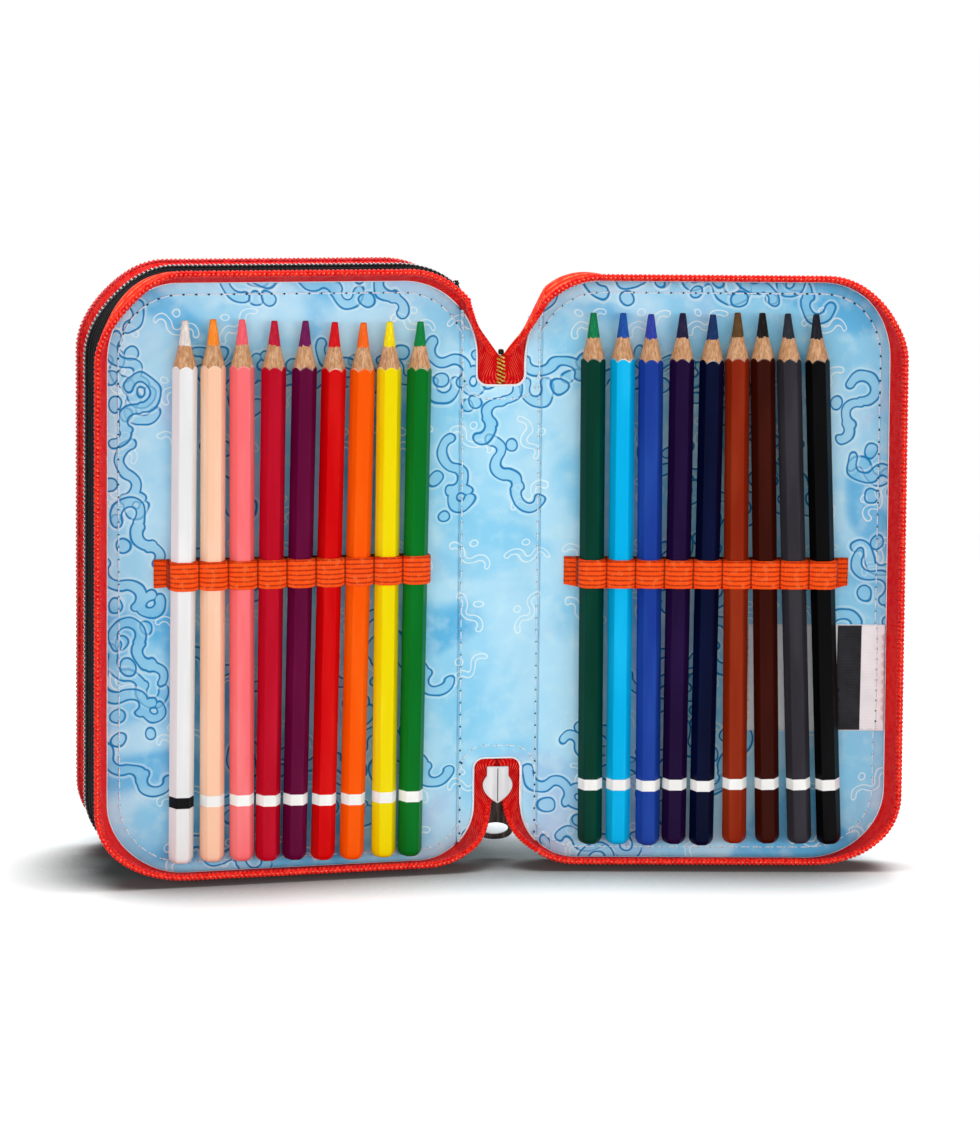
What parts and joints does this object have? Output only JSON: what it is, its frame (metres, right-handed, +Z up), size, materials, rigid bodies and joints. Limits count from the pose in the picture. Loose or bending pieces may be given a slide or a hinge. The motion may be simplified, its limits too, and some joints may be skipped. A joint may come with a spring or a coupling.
{
  "type": "filled pencil case",
  "caption": "Zipped book-style fabric pencil case that folds open on a spine, with elastic loops holding coloured pencils in its trays and two further zipped compartments behind.",
  "frame": {"origin": "below the middle of the bounding box, on the surface that the case stands on", "axes": "+Z up along the spines and pencils, +X from the closed compartments towards the open cover, -Y towards the viewer, where the front compartment opens"},
  "size_m": [0.2606, 0.0892, 0.1968],
  "materials": {
    "sky_lining": "printed woven lining",
    "cover_fabric": "woven polyester over board",
    "red_tape": "twill zip tape",
    "black_tape": "twill zip tape",
    "red_coil": "moulded coil",
    "black_coil": "moulded coil",
    "elastic": "ribbed elastic",
    "label": "woven satin strip",
    "patch": "bare woven patch",
    "slider": "satin pale grey",
    "pull": "polished gunmetal",
    "stop": "moulded",
    "pencil_green": "gloss lacquer, bare wood and coloured lead at the point",
    "pencil_yellow": "gloss lacquer, bare wood and coloured lead at the point",
    "pencil_orange": "gloss lacquer, bare wood and coloured lead at the point",
    "pencil_red": "gloss lacquer, bare wood and coloured lead at the point",
    "pencil_purple": "gloss lacquer, bare wood and coloured lead at the point",
    "pencil_crimson": "gloss lacquer, bare wood and coloured lead at the point",
    "pencil_salmon": "gloss lacquer, bare wood and coloured lead at the point",
    "pencil_peach": "gloss lacquer, bare wood and coloured lead at the point",
    "pencil_white": "gloss lacquer, bare wood and coloured lead at the point",
    "pencil_dark_green": "gloss lacquer, bare wood and coloured lead at the point",
    "pencil_light_blue": "gloss lacquer, bare wood and coloured lead at the point",
    "pencil_blue": "gloss lacquer, bare wood and coloured lead at the point",
    "pencil_dark_purple": "gloss lacquer, bare wood and coloured lead at the point",
    "pencil_navy": "gloss lacquer, bare wood and coloured lead at the point",
    "pencil_rust": "gloss lacquer, bare wood and coloured lead at the point",
    "pencil_dark_brown": "gloss lacquer, bare wood and coloured lead at the point",
    "pencil_grey": "gloss lacquer, bare wood and coloured lead at the point",
    "pencil_black": "gloss lacquer, bare wood and coloured lead at the point"
  },
  "bodies": {
    "stack": {"front_divider": "sky_lining", "left_lining": "sky_lining", "left_zip_tape": "red_tape", "left_zip_coil": "red_coil", "left_elastic": "elastic", "middle_front_zip_tape": "black_tape", "middle_front_zip_coil": "black_coil"},
    "front_spine": {"front_spine": "cover_fabric", "spine_lining": "sky_lining", "front_zip_end_top": "red_tape", "front_zip_end_bottom": "red_tape", "front_zip_stop": "stop"},
    "front_cover": {"front_cover": "cover_fabric", "right_lining": "sky_lining", "right_zip_tape": "red_tape", "right_zip_coil": "red_coil", "right_elastic": "elastic", "label": "label", "label_patch": "patch"},
    "front_slider": {"front_slider": "slider"},
    "front_pull": {"front_pull": "pull"},
    "middle_spine": {"middle_spine": "cover_fabric", "middle_zip_end_top": "black_tape", "middle_zip_end_bottom": "black_tape"},
    "rear_leaf": {"rear_divider": "sky_lining", "middle_rear_zip_tape": "black_tape", "middle_rear_zip_coil": "black_coil", "rear_front_zip_tape": "red_tape", "rear_front_zip_coil": "red_coil"},
    "middle_slider": {"middle_slider": "slider"},
    "middle_pull": {"middle_pull": "pull"},
    "rear_spine": {"rear_spine": "cover_fabric", "rear_zip_end_top": "red_tape", "rear_zip_end_bottom": "red_tape"},
    "back_cover": {"back_cover": "cover_fabric", "rear_back_zip_tape": "red_tape", "rear_back_zip_coil": "red_coil"},
    "rear_slider": {"rear_slider": "slider"},
    "rear_pull": {"rear_pull": "pull"},
    "pencil_green": {"pencil_green": "pencil_green"},
    "pencil_yellow": {"pencil_yellow": "pencil_yellow"},
    "pencil_orange": {"pencil_orange": "pencil_orange"},
    "pencil_red": {"pencil_red": "pencil_red"},
    "pencil_purple": {"pencil_purple": "pencil_purple"},
    "pencil_crimson": {"pencil_crimson": "pencil_crimson"},
    "pencil_salmon": {"pencil_salmon": "pencil_salmon"},
    "pencil_peach": {"pencil_peach": "pencil_peach"},
    "pencil_white": {"pencil_white": "pencil_white"},
    "pencil_dark_green": {"pencil_dark_green": "pencil_dark_green"},
    "pencil_light_blue": {"pencil_light_blue": "pencil_light_blue"},
    "pencil_blue": {"pencil_blue": "pencil_blue"},
    "pencil_dark_purple": {"pencil_dark_purple": "pencil_dark_purple"},
    "pencil_navy": {"pencil_navy": "pencil_navy"},
    "pencil_rust": {"pencil_rust": "pencil_rust"},
    "pencil_dark_brown": {"pencil_dark_brown": "pencil_dark_brown"},
    "pencil_grey": {"pencil_grey": "pencil_grey"},
    "pencil_black": {"pencil_black": "pencil_black"}
  },
  "joints": [
    {"name": "front_spine_fold", "type": "hinge", "parent": "stack", "child": "front_spine", "pos_m": [-0.01006, -0.00477, 0.09685], "axis": [0, 0, -1], "range_deg": [-5.9, 84.1], "deforming": ["front_zip_end_top", "front_zip_end_bottom"]},
    {"name": "front_cover_fold", "type": "hinge", "parent": "front_spine", "child": "front_cover", "pos_m": [0.0164, -0.00751, 0.09685], "axis": [0, 0, -1], "range_deg": [-5.9, 84.1], "deforming": ["front_zip_end_top", "front_zip_end_bottom"]},
    {"name": "middle_spine_fold", "type": "hinge", "parent": "stack", "child": "middle_spine", "pos_m": [-0.01006, -0.00177, 0.09685], "axis": [0, 0, -1], "range_deg": [0, 45], "deforming": ["middle_zip_end_top", "middle_zip_end_bottom"]},
    {"name": "middle_leaf_fold", "type": "hinge", "parent": "middle_spine", "child": "rear_leaf", "pos_m": [-0.01006, 0.01863, 0.09685], "axis": [0, 0, -1], "range_deg": [0, 45], "deforming": ["middle_zip_end_top", "middle_zip_end_bottom"]},
    {"name": "rear_spine_fold", "type": "hinge", "parent": "rear_leaf", "child": "rear_spine", "pos_m": [-0.01006, 0.02163, 0.09685], "axis": [0, 0, 1], "range_deg": [-90, 0], "deforming": ["rear_zip_end_top", "rear_zip_end_bottom"]},
    {"name": "back_cover_fold", "type": "hinge", "parent": "rear_spine", "child": "back_cover", "pos_m": [-0.01006, 0.04203, 0.09685], "axis": [0, 0, 1], "range_deg": [-90, 0], "deforming": ["rear_zip_end_top", "rear_zip_end_bottom"]},
    {"name": "front_slider_slide", "type": "slide", "parent": "front_spine", "child": "front_slider", "axis": [0, 0, -1], "range_m": [0, 0.0075], "deforming": ["front_zip_end_top", "front_zip_end_bottom"]},
    {"name": "middle_slider_slide", "type": "slide", "parent": "middle_spine", "child": "middle_slider", "axis": [0, 0, 1], "range_m": [0, 0.012], "deforming": ["middle_zip_end_top", "middle_zip_end_bottom"]},
    {"name": "rear_slider_slide", "type": "slide", "parent": "rear_spine", "child": "rear_slider", "axis": [0, 0, 1], "range_m": [0, 0.012], "deforming": ["rear_zip_end_top", "rear_zip_end_bottom"]},
    {"name": "front_pull_hinge", "type": "hinge", "parent": "front_slider", "child": "front_pull", "pos_m": [0.00368, -0.00122, 0.0285], "axis": [0.9947, -0.1028, 0], "range_deg": [-3, 165]},
    {"name": "middle_pull_hinge", "type": "hinge", "parent": "middle_slider", "child": "middle_pull", "pos_m": [-0.00511, 0.00843, 0.167], "axis": [0, -1, 0], "range_deg": [-3, 165]},
    {"name": "rear_pull_hinge", "type": "hinge", "parent": "rear_slider", "child": "rear_pull", "pos_m": [-0.00511, 0.03183, 0.167], "axis": [0, -1, 0], "range_deg": [-3, 165]},
    {"name": "pencil_green_slide", "type": "slide", "parent": "stack", "child": "pencil_green", "axis": [0.0157, 0, 0.9999], "range_m": [-0.0018, 0.011]},
    {"name": "pencil_yellow_slide", "type": "slide", "parent": "stack", "child": "pencil_yellow", "axis": [0.0087, 0, 1], "range_m": [-0.0018, 0.011]},
    {"name": "pencil_orange_slide", "type": "slide", "parent": "stack", "child": "pencil_orange", "axis": [0.0209, 0, 0.9998], "range_m": [-0.0018, 0.011]},
    {"name": "pencil_red_slide", "type": "slide", "parent": "stack", "child": "pencil_red", "axis": [0.0227, 0, 0.9997], "range_m": [-0.0018, 0.011]},
    {"name": "pencil_purple_slide", "type": "slide", "parent": "stack", "child": "pencil_purple", "axis": [0.0227, 0, 0.9997], "range_m": [-0.0018, 0.011]},
    {"name": "pencil_crimson_slide", "type": "slide", "parent": "stack", "child": "pencil_crimson", "axis": [0.0157, 0, 0.9999], "range_m": [-0.0018, 0.011]},
    {"name": "pencil_salmon_slide", "type": "slide", "parent": "stack", "child": "pencil_salmon", "axis": [0.0052, 0, 1], "range_m": [-0.0018, 0.011]},
    {"name": "pencil_peach_slide", "type": "slide", "parent": "stack", "child": "pencil_peach", "axis": [0.0087, 0, 1], "range_m": [-0.0018, 0.011]},
    {"name": "pencil_white_slide", "type": "slide", "parent": "stack", "child": "pencil_white", "axis": [0.0157, 0, 0.9999], "range_m": [-0.0018, 0.011]},
    {"name": "pencil_dark_green_slide", "type": "slide", "parent": "front_cover", "child": "pencil_dark_green", "axis": [-0.0068, 0.0014, 1], "range_m": [-0.0035, 0.009]},
    {"name": "pencil_light_blue_slide", "type": "slide", "parent": "front_cover", "child": "pencil_light_blue", "axis": [-0.0051, 0.0011, 1], "range_m": [-0.0035, 0.009]},
    {"name": "pencil_blue_slide", "type": "slide", "parent": "front_cover", "child": "pencil_blue", "axis": [-0.0103, 0.0021, 0.9999], "range_m": [-0.0035, 0.009]},
    {"name": "pencil_dark_purple_slide", "type": "slide", "parent": "front_cover", "child": "pencil_dark_purple", "axis": [-0.0017, 0.0004, 1], "range_m": [-0.0035, 0.009]},
    {"name": "pencil_navy_slide", "type": "slide", "parent": "front_cover", "child": "pencil_navy", "axis": [0.0017, -0.0004, 1], "range_m": [-0.0035, 0.009]},
    {"name": "pencil_rust_slide", "type": "slide", "parent": "front_cover", "child": "pencil_rust", "axis": [-0.0154, 0.0032, 0.9999], "range_m": [-0.0035, 0.009]},
    {"name": "pencil_dark_brown_slide", "type": "slide", "parent": "front_cover", "child": "pencil_dark_brown", "axis": [-0.0325, 0.0068, 0.9995], "range_m": [-0.0035, 0.009]},
    {"name": "pencil_grey_slide", "type": "slide", "parent": "front_cover", "child": "pencil_grey", "axis": [-0.0461, 0.0096, 0.9989], "range_m": [-0.0035, 0.009]},
    {"name": "pencil_black_slide", "type": "slide", "parent": "front_cover", "child": "pencil_black", "axis": [-0.0495, 0.0103, 0.9987], "range_m": [-0.0035, 0.009]}
  ],
  "couplings": [
    {"joint": "front_spine_fold", "follows": "front_cover_fold", "ratio": 1},
    {"joint": "middle_spine_fold", "follows": "middle_leaf_fold", "ratio": 1},
    {"joint": "rear_spine_fold", "follows": "back_cover_fold", "ratio": 1}
  ]
}
